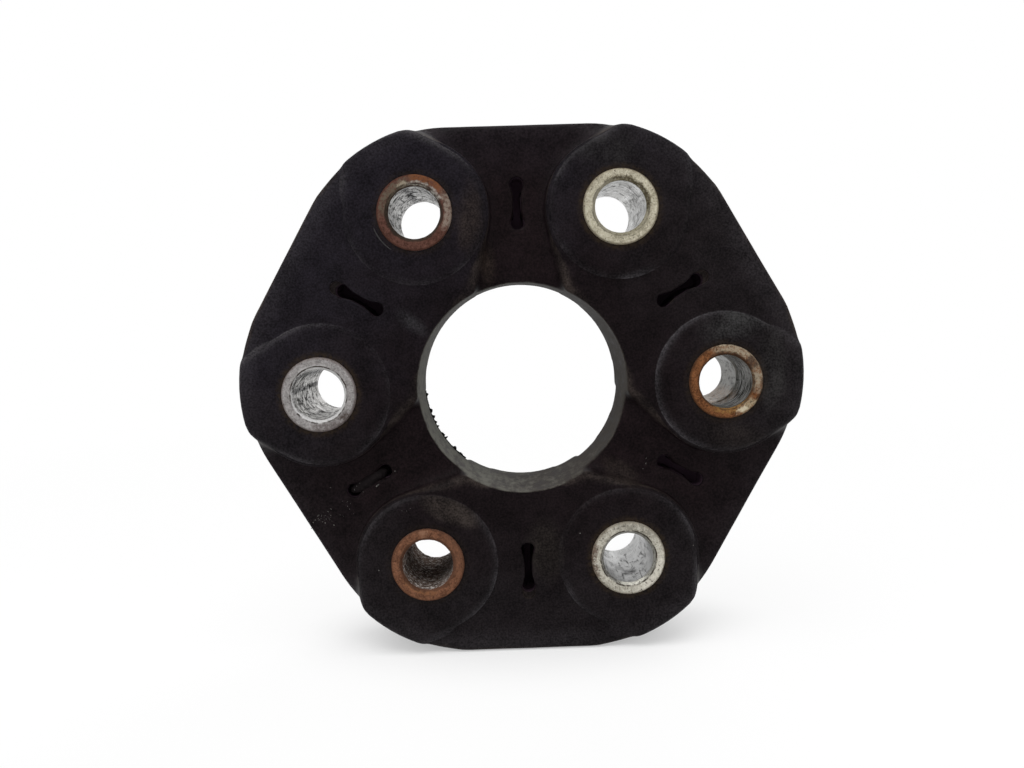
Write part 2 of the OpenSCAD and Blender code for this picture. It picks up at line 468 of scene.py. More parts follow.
# a ragged strip of torn moulding skin along the far rim of the hole, below its left side
flashForm = {
    "root": 27.6,
    "edge": 27.1,
    "depth": 10.0,
    "thickness": 0.36,
    "span": (-176, -127),
    "points": 1440,  # of a full turn
    "rough": 0.07,
    "seed": 11,
    # angle, reach inwards and half width in degrees of each chip
    "chips": [
        (-173.6, 0.45, 0.9),
        (-163.4, 0.5, 1.3),
        (-159.4, 0.62, 1.1),
        (-155.7, 0.42, 0.9),
        (-153.0, 0.36, 0.6),
        (-147.1, 0.4, 1.6),
        (-144.4, 0.8, 0.6),
        (-136.2, 0.55, 1.2),
        (-131.0, 0.25, 1.4),
    ],
}


def turnOf(p):
    return math.degrees(math.atan2(p.z, p.x))


def arcStrip(name, vertices, radius, share, depth, span):
    # a strip along an arc round the disc's axle, from a radius to a share of it
    piece = ring(name, vertices, radius, depth)
    chooseVertices(piece, lambda p: not span[0] <= turnOf(p) <= span[1])
    openPiece(piece, "VERT")
    bpy.ops.mesh.delete(type="VERT")
    closePiece()
    openPiece(piece, "EDGE")
    bpy.ops.mesh.select_all(action="SELECT")
    bpy.ops.mesh.extrude_region_move()
    bpy.ops.transform.resize(value=(share, 1, share), center_override=(0, 0, 0))
    closePiece()
    return piece


def makeFlash():
    form = flashForm
    inwards = form["edge"] / form["root"]
    piece = arcStrip("tornFlash", form["points"], form["root"], inwards, form["depth"], form["span"])
    limit = (form["root"] - 0.2) * mm
    for turn, reach, half in form["chips"]:
        for share in (1.0, 0.55):
            moveVertices(
                piece,
                lambda p: math.hypot(p.x, p.z) < limit and abs(turnOf(p) - turn) < half * share,
                -discPoint(reach / 2, turn, 0),
            )
    chooseVertices(piece, lambda p: math.hypot(p.x, p.z) < limit)
    openPiece(piece, "VERT")
    bpy.ops.transform.vertex_random(offset=form["rough"] * mm, uniform=1, normal=0, seed=form["seed"])
    closePiece()
    shape(piece, "SOLIDIFY", thickness=form["thickness"] * mm, offset=0)
    pick(piece)
    bpy.ops.object.shade_smooth_by_angle(angle=math.radians(40))
    return piece


# a thin lip of rubber that has lifted beside the upper left sleeve
lipForm = {
    "points": 480,
    "radius": 10.9,
    "base": -15.45,
    "height": 0.55,
    "lean": 1.012,
    "thickness": 0.22,
    "span": (-163, -122),
    "rises": (20.3, 18, 15, 10),  # half widths, in degrees, of the steps that lift it towards its middle
}


def makeLip():
    form = lipForm
    centre = discPoint(moulding["boltRadius"], sleeveTurns["upperLeft"], 0)
    piece = arcStrip("bossLip", form["points"], form["radius"], form["lean"], form["base"], form["span"])
    limit = form["radius"] * (1 + form["lean"]) / 2 * mm
    middle = sum(form["span"]) / 2
    rise = 1 / len(form["rises"])
    for half in form["rises"]:
        moveVertices(
            piece,
            lambda p: math.hypot(p.x, p.z) > limit and abs(turnOf(p) - middle) < half,
            (0, -form["height"] * rise * mm, 0),
        )
    shape(piece, "SMOOTH", factor=0.5, iterations=2)
    shape(piece, "SOLIDIFY", thickness=form["thickness"] * mm, offset=0)
    piece.location = centre
    settle(piece)
    pick(piece)
    bpy.ops.object.shade_smooth_by_angle(angle=math.radians(50))
    return piece


# dirt packed into the lower left slot, and grit on and round it
dirtForm = {"at": (48.2, 210, -7.6), "size": (5.8, 3.2, 2.1), "lumps": 0.7, "lumpSize": 1.5}
gritForm = {
    "seed": 7,
    "rough": 0.22,
    "lie": 30,  # the heaps lie along the lower left flat
    # place on the face, depth, spread, number, and smallest and largest half size
    "heaps": table(
        "at depth spread count size",
        ((-42.0, -24.6), -10.0, (3.4, 0.9), 11, (0.05, 0.12)),
        ((-54.6, -33.6), -10.2, (3.0, 2.0), 26, (0.06, 0.15)),
        ((-47.0, -31.5), -10.2, (7.5, 5.0), 24, (0.05, 0.10)),
        ((-31.9, -31.3), -15.55, (1.6, 1.6), 4, (0.06, 0.12)),
        ((31.8, -22.8), -10.2, (2.2, 1.8), 4, (0.06, 0.12)),
    ),
    # single bits: place, depth, half sizes and turn
    "bits": table(
        "at depth size turn",
        ((-39.28, -25.13), -10.2, (0.5, 0.14, 0.15), 40),
        ((-43.88, -24.43), -10.05, (0.22, 0.2, 0.18), 10),
        ((-34.48, -21.4), -10.2, (0.16, 0.14, 0.13), 30),
        ((-46.61, -37.82), -10.2, (0.15, 0.13, 0.14), 0),
        ((-38.28, -35.82), -14.4, (0.14, 0.12, 0.12), 0),
        ((-51.73, -25.23), -10.2, (0.14, 0.12, 0.13), 0),
    ),
}


def makeDirt():
    piece = lump("slotDirt", 5, dirtForm["size"])
    turnTo(piece, *dirtForm["at"])
    roughen(piece, cloudTexture("packedLumps", dirtForm["lumpSize"], 4), dirtForm["lumps"], 0.55)
    pick(piece)
    bpy.ops.object.shade_smooth()
    return piece


def makeGrit():
    draw = random.Random(gritForm["seed"])
    bits = list(gritForm["bits"])
    a = math.radians(gritForm["lie"])
    for heap in gritForm["heaps"]:
        for k in range(heap["count"]):
            along, across = draw.gauss(0, 0.6) * heap["spread"][0], draw.gauss(0, 0.6) * heap["spread"][1]
            x = heap["at"][0] + along * math.cos(a) - across * math.sin(a)
            z = heap["at"][1] + along * math.sin(a) + across * math.cos(a)
            half = draw.uniform(*heap["size"])
            flat = draw.uniform(0.7, 1.4)
            size = (half * flat, half, half / flat)
            bits.append({"at": (x, z), "depth": heap["depth"], "size": size, "turn": draw.uniform(0, 180)})
    master = lump("grain", 2, offset=gritForm["rough"] * mm, normal=0.4, seed=2)
    copies = []
    for bit in bits:
        pick(master)
        bpy.ops.object.duplicate()
        piece = named("grain")
        piece.scale = bit["size"]
        piece.rotation_euler = (0, math.radians(-bit["turn"]), 0)
        piece.location = Vector((bit["at"][0], bit["depth"], bit["at"][1])) * mm
        settle(piece)
        copies.append(piece)
    bpy.data.objects.remove(master)
    piece = joined(copies, "grit")
    bpy.ops.object.shade_smooth_by_angle(angle=math.radians(30))
    return piece


rubberDisc = makeRubber()
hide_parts("rubber_body")
tornFlash, bossLip, slotDirt, grit = makeFlash(), makeLip(), makeDirt(), makeGrit()
for piece in (rubberDisc, tornFlash, bossLip, slotDirt, grit):
    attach(piece, "root")
print("rubber: torn skin, lip, packed dirt and grit added")

sleeveMaster = makeSleeve()
sleeves = {where: placeSleeve(sleeveMaster, where, k + 1) for k, where in enumerate(sleeveTurns)}
bpy.data.objects.remove(sleeveMaster)
print("sleeves:", len(sleeves), "placed,", len(sleeves["right"].data.polygons), "faces each")


def operator(operation, swapped=False):
    # one of the sums below, between a wire and another wire or a number
    def reckon(self, other):
        return self.sum(operation, *((other, self) if swapped else (self, other)))

    return reckon


# shader sums: a socket that can be added, multiplied and compared
class Wire:
    def __init__(self, tree, socket):
        self.tree = tree
        self.socket = socket

    def node(self, kind, settings=None, sockets=None, out=0):
        made = self.tree.nodes.new(kind)
        for key, value in (settings or {}).items():
            setattr(made, key, value)
        for key, value in (sockets or {}).items():
            if isinstance(value, Wire):
                self.tree.links.new(value.socket, made.inputs[key])
            else:
                made.inputs[key].default_value = value
        return Wire(self.tree, made.outputs[out])

    def sum(self, operation, a, b=0.0):
        return self.node("ShaderNodeMath", {"operation": operation}, {0: a, 1: b})

    __add__ = __radd__ = operator("ADD")
    __sub__, __rsub__ = operator("SUBTRACT"), operator("SUBTRACT", True)
    __mul__ = __rmul__ = operator("MULTIPLY")
    __truediv__, __pow__ = operator("DIVIDE"), operator("POWER")
    __lt__, __gt__ = operator("LESS_THAN"), operator("GREATER_THAN")
    most, least = operator("MAXIMUM"), operator("MINIMUM")

    def ease(self, low, high):
        # 0 below low, 1 above high, smooth between
        settings = {"interpolation_type": "SMOOTHSTEP"}
        return self.node("ShaderNodeMapRange", settings, {0: self, 1: low, 2: high, 3: 0.0, 4: 1.0})

    def rise(self, low, high):
        # the same between two lengths in millimetres
        return self.ease(low * mm, high * mm)

    def mix(self, a, b):
        # from colour a to colour b by this value
        a, b = (c if isinstance(c, Wire) else (*c, 1.0) for c in (a, b))
        settings = {"data_type": "RGBA", "blend_type": "MIX"}
        return self.node("ShaderNodeMix", settings, {0: self, 6: a, 7: b}, 2)

    def noise(self, scale, detail, rough, warp=0.0):
        sockets = {"Vector": self, "Scale": scale, "Detail": detail, "Roughness": rough, "Distortion": warp}
        return self.node("ShaderNodeTexNoise", None, sockets)

    def cells(self, scale, out="Distance"):
        return self.node("ShaderNodeTexVoronoi", None, {"Vector": self, "Scale": scale}, out)

    def stretch(self, *scale):
        return self.node("ShaderNodeMapping", None, {"Vector": self, "Scale": scale})

    def scaled(self, factor):
        return self.node("ShaderNodeVectorMath", {"operation": "SCALE"}, {0: self, "Scale": factor})

    def size(self):
        return self.sum("ABSOLUTE", self)

    def axes(self):
        return [self.node("ShaderNodeSeparateXYZ", None, {0: self}, k) for k in range(3)]

    def bump(self, strength, distance):
        return self.node("ShaderNodeBump", None, {"Height": self, "Strength": strength, "Distance": distance})


def newFinish(name):
    # a fresh material: its Principled shader, and its Object coordinates as a wire
    finish = bpy.data.materials.new(name)
    finish.use_nodes = True
    tree = finish.node_tree
    shader = tree.nodes["Principled BSDF"]
    place = tree.nodes.new("ShaderNodeTexCoord")
    return finish, shader, Wire(tree, place.outputs["Object"])


def setSockets(shader, constants, wires):
    for key, value in constants.items():
        shader.inputs[key].default_value = value
    for key, wire in wires.items():
        wire.tree.links.new(wire.socket, shader.inputs[key])


def wear(piece, finish):
    piece.data.materials.clear()
    piece.data.materials.append(finish)


def distanceTo(x, z, centre):
    # distance from a line along the disc's axle direction, in metres
    return ((x - centre.x) ** 2 + (z - centre.z) ** 2) ** 0.5


rubberLook = {
    "near": (0.0068, 0.0046, 0.0052),  # by the hole
    "far": (0.0098, 0.0080, 0.0088),  # out at the edge
    "deep": (0.0074, 0.0046, 0.0052),  # on the ground of the deep sectors
    "cool": (0.0100, 0.0086, 0.0122),  # up and to the left
    "slopeHighlight": (0.0240, 0.0185, 0.0165),  # painted highlight, with some dust, on the sides of the links
    "wornAndSheen": (0.038, 0.035, 0.038),  # painted highlight and some rubbed wear on the rims of the bosses
    "dust": (0.105, 0.102, 0.088),
    "dustDull": (0.042, 0.036, 0.031),
    "stain": (0.030, 0.0205, 0.0125),
    # painted shade in and round the slots
    "slotShadeTone": (0.0040, 0.0026, 0.0035),
    # painted light on the slot walls, which lie in shade
    "slotWallLight": (0.042, 0.026, 0.037),
    "speck": (0.10, 0.095, 0.09),
    "roughness": 0.47,
    "specular": 0.03,
    # where one tone passes into the next: depths, then distances from a sleeve, the axle and the edge
    "bands": {
        "onGround": (10.5, 13.6),
        "slopeFoot": (11.4, 13.6),
        "slopeTop": (13.9, 14.35),
        "crownFoot": (14.5, 14.66),
        "crownTop": (14.95, 15.6),
        "rimFoot": (14.5, 14.62),
        "rimTop": (14.72, 14.9),
        "onBoss": (14.55, 14.75),
        "slotTop": (13.6, 14.1),
        "halo": (9.7, 11.7),
        "holeWall": (27.3, 27.65),
        "outerEdge": (0.2, 7),
    },
    # how strongly the rubber round each sleeve is stained
    "halo": {"right": 0.4, "upperRight": 0.8, "upperLeft": 0.3, "left": 0.8, "lowerLeft": 0.2, "lowerRight": 0.8},
    # pale and brown patches on the near face, partly smears and partly painted highlight and sheen: place, half sizes
    # and turn
    "smearsAndSheens": table(
        "at size turn colour amount boss",
        # the pale patches on the right boss, along the rim of the lower left boss and left of the hole are painted
        # highlight and sheen; the rest are smears
        ((55.5, 15.0), (9.5, 4.5), 18, (0.033, 0.0325, 0.0325), 0.9, True),
        ((65.0, 2.0), (4.0, 12.0), 0, (0.022, 0.021, 0.0205), 0.7, True),
        ((55.0, -14.5), (10.0, 4.0), -12, (0.018, 0.0145, 0.013), 0.6, True),
        ((-19.3, -31.8), (8.0, 3.0), -27, (0.040, 0.032, 0.028), 0.85, True),
        ((-12.2, 43.0), (3.5, 8.5), 0, (0.025, 0.0185, 0.016), 0.75, True),
        ((-28.4, 17.8), (5.0, 2.2), -40, (0.024, 0.023, 0.025), 0.75),
        ((-8.4, 32.5), (2.4, 6.0), 0, (0.022, 0.0155, 0.0125), 0.7),
        ((24.5, -23.0), (6.0, 2.6), -38, (0.019, 0.0145, 0.0125), 0.65),
        ((4.6, -42.5), (5.0, 8.0), 0, (0.021, 0.0178, 0.0150), 0.75),
        ((21.5, 60.5), (11.0, 4.5), -12, (0.018, 0.0172, 0.0172), 0.6, True),
    ),
}


def smearAndSheenMask(x, z, jitter, smearAndSheen):
    t = math.radians(smearAndSheen["turn"])
    dx, dz = x - smearAndSheen["at"][0] * mm, z - smearAndSheen["at"][1] * mm
    along = (dx * math.cos(t) + dz * math.sin(t)) / (smearAndSheen["size"][0] * mm)
    across = (dz * math.cos(t) - dx * math.sin(t)) / (smearAndSheen["size"][1] * mm)
    away = (along * along + across * across) ** 0.5 + jitter
    return (1 - away.ease(0.3, 1.3)) * smearAndSheen["amount"]


def slotDistance(x, z, radius):
    # distances in metres from the outline of the nearest slot, with all six folded onto one, and from the outer edge
    sector = math.radians(60)
    turn = z.sum("ARCTAN2", z, x)
    turn = turn.sum("FLOORED_MODULO", turn, sector) - sector / 2
    along, across = radius * turn.sum("COSINE", turn), (radius * turn.sum("SINE", turn)).size()
    end, waist = moulding["slotEnd"] * mm, moulding["slotWaist"] * mm
    low, high = moulding["slotIn"] * mm + end, moulding["slotOut"] * mm - end
    nearEnd = ((along - low) ** 2 + across * across) ** 0.5 - end
    farEnd = ((along - high) ** 2 + across * across) ** 0.5 - end
    middle = ((along - (low + high) / 2).size() - (high - low) / 2).most(across - waist)
    edge = (moulding["flatRadius"] * mm - along).least(moulding["cornerRadius"] * mm - radius)
    return nearEnd.least(farEnd).least(middle), edge


def rubberFinish():
    look, bands = rubberLook, rubberLook["bands"]
    finish, shader, p = newFinish("mouldedRubber")
    x, y, z = p.axes()
    depth = y.size()
    radius = (x * x + z * z) ** 0.5
    cloud = p.noise(60, 5, 0.62)
    blotch = p.noise(170, 4, 0.62).ease(0.3, 0.68)
    grain = p.noise(2000, 2, 0.6).ease(0.25, 0.75)
    colour = (radius + (cloud - 0.5) * (40 * mm)).rise(30, 66).mix(look["near"], look["far"])
    lean = z * 0.8 - x * 0.6
    colour = ((lean + (cloud - 0.5) * (60 * mm)).rise(0, 75) * 0.8).mix(colour, look["cool"])
    fromSlot, fromEdge = slotDistance(x, z, radius)
    outer = (1 - fromEdge.rise(*bands["outerEdge"])) * (0.16 + 0.14 * cloud.ease(0.35, 0.65))
    colour = outer.mix(colour, look["wornAndSheen"])
    ground = (1 - depth.rise(*bands["onGround"])) * (1 - 0.4 * (radius + cloud * (20 * mm)).rise(58, 76))
    colour = ground.mix(colour, look["deep"])
    # painted highlight: the sides of the links, whose rounded top edges catch the light, are painted paler in patches
    slopeHighlight = depth.rise(*bands["slopeFoot"]) * (1 - depth.rise(*bands["slopeTop"]))
    colour = (slopeHighlight * (0.25 + 0.75 * blotch)).mix(colour, look["slopeHighlight"])
    # the crowned rims of the bosses are painted paler as a highlight, with some rubbed wear, most along the very edge
    crown = depth.rise(*bands["crownFoot"]) * (1 - depth.rise(*bands["crownTop"]))
    rim = depth.rise(*bands["rimFoot"]) * (1 - depth.rise(*bands["rimTop"]))
    rimPatches = p.noise(30, 3, 0.6).ease(0.42, 0.6)
    wornAndSheen = crown * (0.06 + 0.6 * rimPatches * cloud.ease(0.3, 0.6)) + rim * (0.05 + 0.45 * blotch * rimPatches)
    colour = wornAndSheen.least(1.0).mix(colour, look["wornAndSheen"])
    near = (y < 0) * (0.55 + 0.45 * blotch)
    onBoss = depth.rise(*bands["onBoss"])
    # smears, and painted highlight and sheen on the bosses and beside the hole
    for smearAndSheen in look["smearsAndSheens"]:
        there = near * onBoss if smearAndSheen.get("boss") else near
        colour = (smearAndSheenMask(x, z, (cloud - 0.5) * 1.6, smearAndSheen) * there).mix(colour, smearAndSheen["colour"])
    colour = colour.scaled(0.2 + 1.0 * grain + 0.5 * blotch)
    halo = None
    for where, amount in look["halo"].items():
        away = distanceTo(x, z, discPoint(moulding["boltRadius"], sleeveTurns[where], 0))
        ring = (1 - away.rise(*bands["halo"])) * amount
        halo = ring if halo is None else halo + ring
    halo = halo * p.noise(900, 4, 0.6).ease(0.3, 0.66)
    colour = halo.mix(colour, look["stain"])
    # dust on the wall of the hole, paler towards the left; less of it on the upper part, which faces down, as painted
    # shade
    wall = 1 - radius.rise(*bands["holeWall"])
    streak = p.stretch(1, 0.35, 1).noise(420, 6, 0.7)
    dustAndShade = wall * (0.35 + 0.65 * streak.ease(0.36, 0.58)) * (1 - 0.45 * z.rise(2, 26))
    powder = (streak + p.noise(110, 3, 0.6) * 0.6 - x * 9.0).ease(0.62, 1.05)
    colour = dustAndShade.mix(colour, powder.mix(look["dustDull"], look["dust"]))
    spots = p.cells(700)
    chance = p.node("ShaderNodeTexWhiteNoise", None, {0: p.cells(700, "Position")})
    speck = (spots < 0.12) * (chance > 0.992) * (1 - z.rise(-34, 6))
    colour = speck.mix(colour, look["speck"])
    # painted shade: the slots and their rims are darkened almost to black
    slotShade = fromSlot + (p.noise(500, 4, 0.6) - 0.5) * (0.8 * mm)
    filled = ((x * -0.866 - z * 0.5) / radius).ease(0.93, 0.95)  # the lower left one is full, so its rim hardly shows
    slotShade = (1 - slotShade.rise(-0.1, 0.4)) * (1 - 0.5 * filled)
    colour = slotShade.mix(colour, look["slotShadeTone"])
    # painted light: the walls inside the slots, which get almost no light, are painted a lighter purple brown
    offGround = (depth - 10.1 * mm).size().rise(0.3, 0.6)
    inSlot = (1 - fromSlot.rise(0, 0.2)) * (1 - depth.rise(*bands["slotTop"])) * offGround
    colour = inSlot.mix(colour, look["slotWallLight"])
    roughness = look["roughness"] + 0.2 * (p.noise(700, 4, 0.6) - 0.5) + 0.25 * dustAndShade + 0.35 * slotShade
    height = grain * 0.5 + p.noise(620, 4, 0.6)
    normal = height.bump(0.35, 0.1 * mm)
    setSockets(
        shader,
        {"Specular IOR Level": look["specular"]},
        {"Base Color": colour, "Roughness": roughness, "Normal": normal},
    )
    return finish


def scrapFinish(name, low, high, specular):
    # torn skin, lifted lip, packed dirt and grit: plain mottled stuff in two tones
    finish, shader, p = newFinish(name)
    tone = p.noise(1100, 4, 0.6).ease(0.4, 0.75)
    fine = p.noise(5200, 3, 0.6)
    colour = (tone * 0.7 + fine * 0.3).mix(low, high)
    setSockets(
        shader,
        {"Specular IOR Level": specular},
        {"Base Color": colour, "Roughness": 0.6 + 0.25 * tone, "Normal": (tone + fine * 0.4).bump(0.5, 0.08 * mm)},
    )
    return finish


# patches on a sleeve: turn and half width in degrees, then radii on an end face or depths in the bore
faceColumns = "turn spread from to colour amount"
boreColumns = "turn spread front colour amount solid back"
# where the finish of a sleeve changes, in millimetres
sleeveBands = {"end": (15.45, 15.75), "face": (7.1, 7.3), "rim": (8.9, 9.6), "mouth": 7.3, "mouthLine": (0.08, 0.26)}
# each sleeve's end face, from its ground colours to its patches; then its bore, with marks as
# (from, to, amount) of a noise, where an amount below zero is of pale specks
sleeveLook = {
    "right": {
        "dull": (0.050, 0.020, 0.010), "bright": (0.205, 0.086, 0.036), "metal": 0.0, "pits": 0.65,
        # painted shade: the dark brown of this sleeve's mouth chamfer
        "edge": (0.040, 0.022, 0.013), "chamfer": (0.070, 0.040, 0.022), "line": 0.7,
        "patches": table(
            faceColumns,
            (72, 36, 7.6, 9.7, (0.30, 0.255, 0.185), 0.85),
            # painted shade across the top of the mouth chamfer
            (84, 34, 6.4, 7.9, (0.05, 0.027, 0.016), 0.9),
            (8, 26, 7.2, 9.5, (0.26, 0.22, 0.16), 0.9),
            (36, 13, 6.6, 9.3, (0.045, 0.025, 0.017), 0.9),
            (-16, 20, 8.9, 9.8, (0.05, 0.028, 0.017), 0.85),
            (-80, 34, 6.4, 8.3, (0.25, 0.135, 0.045), 0.75),
            (-50, 17, 7.3, 9.4, (0.33, 0.275, 0.18), 0.75),
            (-62, 9, 7.7, 8.9, (0.55, 0.49, 0.36), 0.75),
        ),
        "bore": {
            "light": (0.17, 0.168, 0.155), "dark": (0.03, 0.028, 0.025), "metal": 0.75, "specks": (0.66, 0.74, 0.2),
            "blots": (0.50, 0.66, 0.5), "scores": (0.58, 0.70, 0.4), "rings": (0.47, 0.60, 0.85),
            "ringsTo": -2.0,
            "patches": table(boreColumns, (-85, 50, -6, (0.20, 0.105, 0.035), 0.6)),
        },
    },
    "upperRight": {
        "dull": (0.205, 0.185, 0.130), "bright": (0.56, 0.52, 0.41), "metal": 0.1, "pits": 0.8,
        "edge": (0.125, 0.10, 0.064), "chamfer": (0.26, 0.24, 0.18), "line": 0.6,
        "patches": table(
            faceColumns,
            # the first two patches, dark across the upper right of the mouth chamfer, are painted shadow
            (52, 62, 6.0, 7.75, (0.095, 0.078, 0.045), 0.9),
            (30, 40, 6.0, 7.2, (0.045, 0.037, 0.022), 0.7),
            (-70, 40, 6.0, 8.0, (0.16, 0.145, 0.095), 0.55),
            (200, 50, 7.3, 9.3, (0.42, 0.395, 0.30), 0.4),
        ),
        "bore": {
            "light": (0.80, 0.80, 0.79), "dark": (0.10, 0.098, 0.09), "metal": 0.85, "specks": (0.66, 0.74, 0.3),
            "blots": (0.51, 0.64, 0.8), "scores": (0.54, 0.68, 0.45), "rings": (0.53, 0.64, 0.5),
            "patches": table(
                boreColumns,
                (12, 26, -15, (0.22, 0.215, 0.205), 0.6),
                (75, 25, -16, (0.30, 0.29, 0.275), 0.4),
            ),
        },
    },
    "upperLeft": {
        "dull": (0.044, 0.020, 0.0155), "bright": (0.118, 0.056, 0.042), "metal": 0.0, "pits": 0.5,
        "edge": (0.055, 0.025, 0.018), "chamfer": (0.040, 0.028, 0.022), "line": 0.8,
        "patches": table(
            faceColumns,
            (138, 42, 6.9, 9.0, (0.105, 0.09, 0.066), 0.8),
            (66, 30, 7.9, 9.8, (0.155, 0.062, 0.027), 0.8),
            (2, 30, 7.7, 9.7, (0.23, 0.19, 0.155), 0.8),
            (80, 20, 6.9, 7.9, (0.33, 0.31, 0.27), 0.75),
            (40, 14, 6.7, 7.8, (0.40, 0.38, 0.34), 0.6),
            (112, 8, 7.1, 8.4, (0.30, 0.26, 0.195), 0.7),
            (200, 45, 6.4, 7.5, (0.022, 0.017, 0.014), 0.8),
        ),
        "bore": {
            "light": (0.60, 0.595, 0.58), "dark": (0.03, 0.028, 0.026), "metal": 0.85, "specks": (0.58, 0.68, 0.7),
            "blots": (0.50, 0.60, 0.85), "scores": (0.52, 0.62, 0.75), "rings": (0.55, 0.64, 0.5),
            "patches": table(
                boreColumns,
                (108, 7, -16, (0.02, 0.019, 0.018), 0.85, True),
                (190, 22, -16, (0.05, 0.045, 0.04), 0.5),
            ),
        },
    },
    "left": {
        "dull": (0.135, 0.126, 0.122), "bright": (0.345, 0.328, 0.322), "metal": 0.1, "pits": 0.5,
        "edge": (0.10, 0.076, 0.07), "chamfer": (0.46, 0.455, 0.45), "line": 0.95,
        "patches": table(
            faceColumns,
            (292, 34, 7.6, 9.9, (0.11, 0.092, 0.088), 0.8),
            (-42, 8, 8.0, 9.8, (0.05, 0.036, 0.03), 0.8),
            (165, 50, 6.3, 7.0, (0.03, 0.027, 0.025), 0.9),
            (240, 60, 6.9, 7.3, (0.58, 0.575, 0.57), 0.85),
            (105, 40, 7.1, 7.9, (0.42, 0.41, 0.40), 0.6),
        ),
        "bore": {
            "light": (0.66, 0.65, 0.63), "dark": (0.022, 0.021, 0.02), "metal": 0.85, "specks": (0.58, 0.67, 0.75),
            "blots": (0.50, 0.59, 0.85), "scores": (0.55, 0.64, 0.5), "rings": (0.52, 0.61, 0.6),
            "patches": table(
                boreColumns,
                (172, 6, -16, (0.014, 0.013, 0.012), 0.9, True),
                (131, 9, -16, (0.02, 0.019, 0.018), 0.8, True),
                (96, 16, -6, (0.82, 0.82, 0.81), 0.8),
            ),
        },
    },
    "lowerLeft": {
        "dull": (0.062, 0.028, 0.017), "bright": (0.205, 0.095, 0.055), "metal": 0.0, "pits": 0.45,
        "edge": (0.06, 0.030, 0.020), "chamfer": (0.095, 0.045, 0.028), "line": 0.4,
        "patches": table(
            faceColumns,
            (96, 8, 7.4, 9.2, (0.25, 0.135, 0.085), 0.7),
            (250, 40, 7.1, 7.9, (0.23, 0.105, 0.05), 0.6),
            (200, 60, 6.3, 7.3, (0.045, 0.022, 0.014), 0.7),
            (20, 40, 7.2, 9.6, (0.115, 0.055, 0.034), 0.6),
        ),
        "bore": {
            "light": (0.16, 0.12, 0.10), "dark": (0.03, 0.02, 0.016), "metal": 0.0, "specks": (0.52, 0.60, -0.75),
            "blots": (0.46, 0.62, 0.8), "scores": (0.60, 0.70, 0.3), "rings": (0.60, 0.70, 0.3),
            "patches": table(boreColumns, (-10, 55, -13, (0.24, 0.215, 0.20), 0.5)),
        },
    },
    "lowerRight": {
        "dull": (0.23, 0.215, 0.175), "bright": (0.56, 0.535, 0.46), "metal": 0.1, "pits": 0.8,
        "edge": (0.15, 0.125, 0.09), "chamfer": (0.26, 0.255, 0.23), "line": 0.95,
        "patches": table(
            faceColumns,
            (72, 34, 7.2, 9.5, (0.19, 0.175, 0.145), 0.75),
            (325, 44, 7.5, 9.3, (0.60, 0.57, 0.50), 0.8),
            # painted highlight along the bottom of the mouth chamfer
            (276, 32, 6.3, 7.2, (0.62, 0.605, 0.53), 0.9),
            (182, 26, 8.4, 9.9, (0.10, 0.062, 0.045), 0.85),
            (20, 60, 6.3, 7.4, (0.15, 0.145, 0.125), 0.75),
            (215, 40, 6.3, 7.1, (0.05, 0.047, 0.042), 0.85),
        ),
        "bore": {
            "light": (0.50, 0.50, 0.495), "dark": (0.035, 0.034, 0.032), "metal": 0.85, "specks": (0.62, 0.72, 0.4),
            "blots": (0.54, 0.66, 0.6), "scores": (0.55, 0.66, 0.6), "rings": (0.58, 0.68, 0.35),
            "patches": table(
                boreColumns,
                (190, 26, -2, (0.84, 0.84, 0.83), 0.7),
                (282, 15, -9, (0.02, 0.019, 0.018), 0.8, True, -5),
                (262, 9, -5, (0.03, 0.029, 0.027), 0.6, True, 0),
                (226, 26, 5, (0.04, 0.038, 0.036), 0.8),
                (5, 50, -15, (0.46, 0.46, 0.455), 0.7),
            ),
        },
    },
}


def patchMask(dx, dz, away, torn, fleck, patch):
    # a patch within an angle of its turn, and on an end face between two radii, with a torn outline
    t = math.radians(patch["turn"])
    spread = math.radians(patch["spread"])
    facing = (dx * math.cos(t) + dz * math.sin(t)) / away
    turned = facing.sum("ARCCOSINE", facing.most(-1.0).least(1.0)) + torn * (0.35 + 0.6 * spread)
    broken = 0.2 if patch.get("solid") else 0.8
    mask = (1 - turned.ease(spread * 0.7, spread * 1.3)) * patch["amount"] * (1 - broken + broken * fleck)
    if "from" in patch:
        ring = away + torn * (1.8 * mm)
        mask = mask * ring.rise(patch["from"] - 0.25, patch["from"] + 0.25)
        mask = mask * (1 - ring.rise(patch["to"] - 0.25, patch["to"] + 0.25))
    return mask


